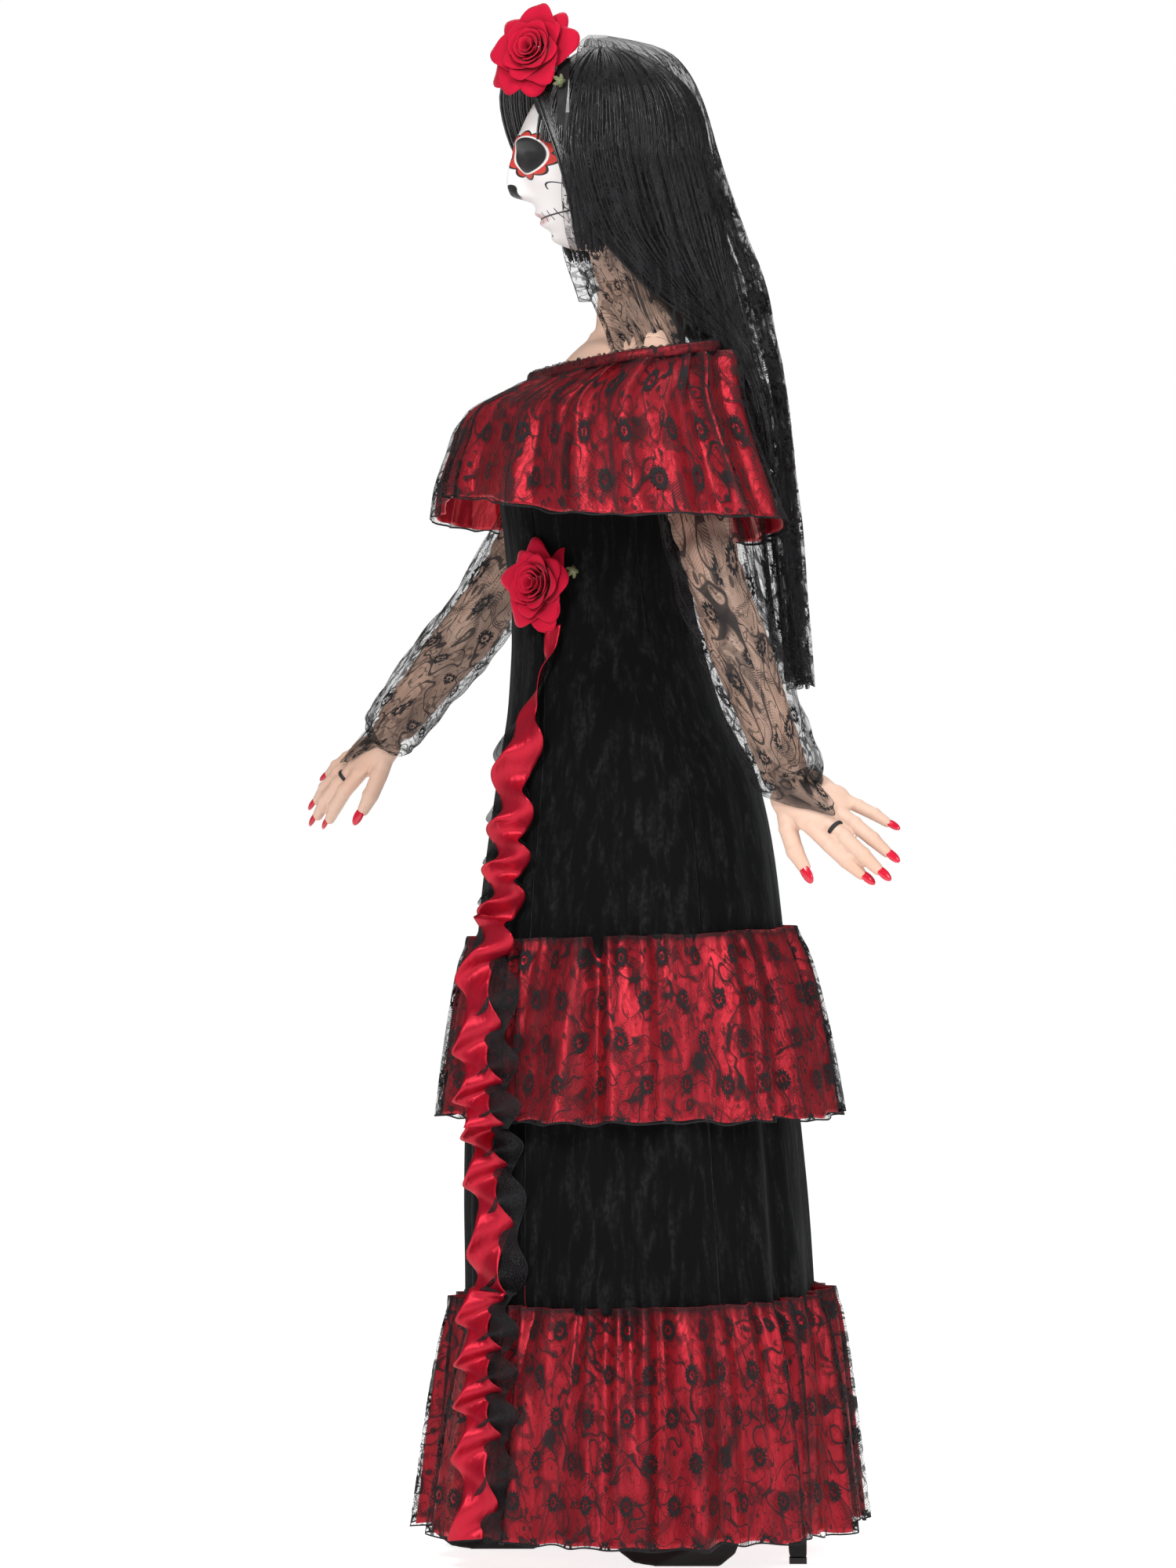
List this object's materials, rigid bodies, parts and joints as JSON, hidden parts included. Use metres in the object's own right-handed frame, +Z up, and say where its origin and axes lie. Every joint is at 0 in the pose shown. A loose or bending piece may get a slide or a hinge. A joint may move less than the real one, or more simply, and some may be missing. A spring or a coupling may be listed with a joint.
{
  "type": "papier-mache catrina figure",
  "caption": "Life-size dressed catrina display figure: paper shells on a wood and steel frame, flounced velvet dress, lace sleeves, veil and roses; head, shoulders and wrists turn.",
  "frame": {"origin": "on the floor, under the middle of the bounding box of the whole figure", "axes": "+Z up, the figure faces -X, its own left side is towards -Y"},
  "size_m": [0.7026, 0.952, 1.8161],
  "materials": {
    "wood": "raw pine",
    "steel": "bare drawn rod",
    "papier_mache_skin": "painted satin skin tone over layered paper",
    "papier_mache_face": "white face paint with black and red line work",
    "shoe_sole": "matte",
    "shoe_velvet": "short pile",
    "heel_tip": "matte",
    "black_lace": "open net with flowers",
    "black_elastic": "gathered",
    "black_hair": "long straight fibre, glossy",
    "headband_plastic": "narrow band",
    "red_rose": "flocked petals",
    "green_calyx": "moulded",
    "black_velvet": "crushed pile",
    "red_satin": "glossy woven"
  },
  "bodies": {
    "torso": {"hip_board": "wood", "spine_post": "wood", "shoulder_yoke": "wood", "neck_peg": "wood", "left_shoulder_pin": "steel", "right_shoulder_pin": "steel", "bust_shell": "papier_mache_skin", "hip_shell": "papier_mache_skin", "left_shoe_sole": "shoe_sole", "left_shoe_heel": "shoe_velvet", "left_heel_tip": "heel_tip", "left_foot": "papier_mache_skin", "left_shoe_upper": "shoe_velvet", "left_leg_shell": "papier_mache_skin", "left_leg_rod": "steel", "right_shoe_sole": "shoe_sole", "right_shoe_heel": "shoe_velvet", "right_heel_tip": "heel_tip", "right_foot": "papier_mache_skin", "right_shoe_upper": "shoe_velvet", "right_leg_shell": "papier_mache_skin", "right_leg_rod": "steel", "dress_right_back_panel": "black_velvet", "dress_right_side_panel": "black_velvet", "dress_front_panel": "black_velvet", "dress_left_side_panel": "black_velvet", "dress_left_back_panel": "black_velvet", "middle_flounce_satin": "red_satin", "middle_flounce_lace": "black_lace", "hem_flounce_satin": "red_satin", "hem_flounce_lace": "black_lace", "shoulder_flounce_satin": "red_satin", "shoulder_flounce_lace": "black_lace", "neckline_elastic": "black_elastic", "waist_rose": "red_rose", "waist_rose_calyx": "green_calyx", "side_frill_lace": "black_lace", "side_frill_satin": "red_satin"},
    "head": {"head_shell": "papier_mache_face", "wig_cap": "black_hair", "wig_back_fall": "black_hair", "left_front_lock": "black_hair", "right_front_lock": "black_hair", "headband": "headband_plastic", "head_rose": "red_rose", "head_rose_calyx": "green_calyx", "veil": "black_lace"},
    "left_arm": {"left_arm_shell": "papier_mache_skin", "left_wrist_peg": "wood", "left_sleeve": "black_lace"},
    "left_hand": {"left_hand": "papier_mache_skin", "left_finger_loop": "black_elastic"},
    "right_arm": {"right_arm_shell": "papier_mache_skin", "right_wrist_peg": "wood", "right_sleeve": "black_lace"},
    "right_hand": {"right_hand": "papier_mache_skin", "right_finger_loop": "black_elastic"}
  },
  "joints": [
    {"name": "neck_turn", "type": "hinge", "parent": "torso", "child": "head", "pos_m": [0.06291, -0.0115, 1.5], "axis": [0, 0, 1], "range_deg": [-15, 15], "deforming": ["veil", "wig_back_fall"]},
    {"name": "left_shoulder_swing", "type": "hinge", "parent": "torso", "child": "left_arm", "pos_m": [0.08091, -0.1475, 1.395], "axis": [0, 1, 0], "range_deg": [-7, 10], "deforming": ["left_sleeve"]},
    {"name": "left_wrist_turn", "type": "hinge", "parent": "left_arm", "child": "left_hand", "pos_m": [0.22691, -0.4015, 0.922], "axis": [0.2961, -0.4307, -0.8525], "range_deg": [-20, 20]},
    {"name": "right_shoulder_swing", "type": "hinge", "parent": "torso", "child": "right_arm", "pos_m": [0.03491, 0.1245, 1.395], "axis": [0, 1, 0], "range_deg": [-10, 6], "deforming": ["right_sleeve"]},
    {"name": "right_wrist_turn", "type": "hinge", "parent": "right_arm", "child": "right_hand", "pos_m": [-0.23209, 0.3785, 0.982], "axis": [-0.5538, 0.4467, -0.7027], "range_deg": [-20, 20]}
  ]
}
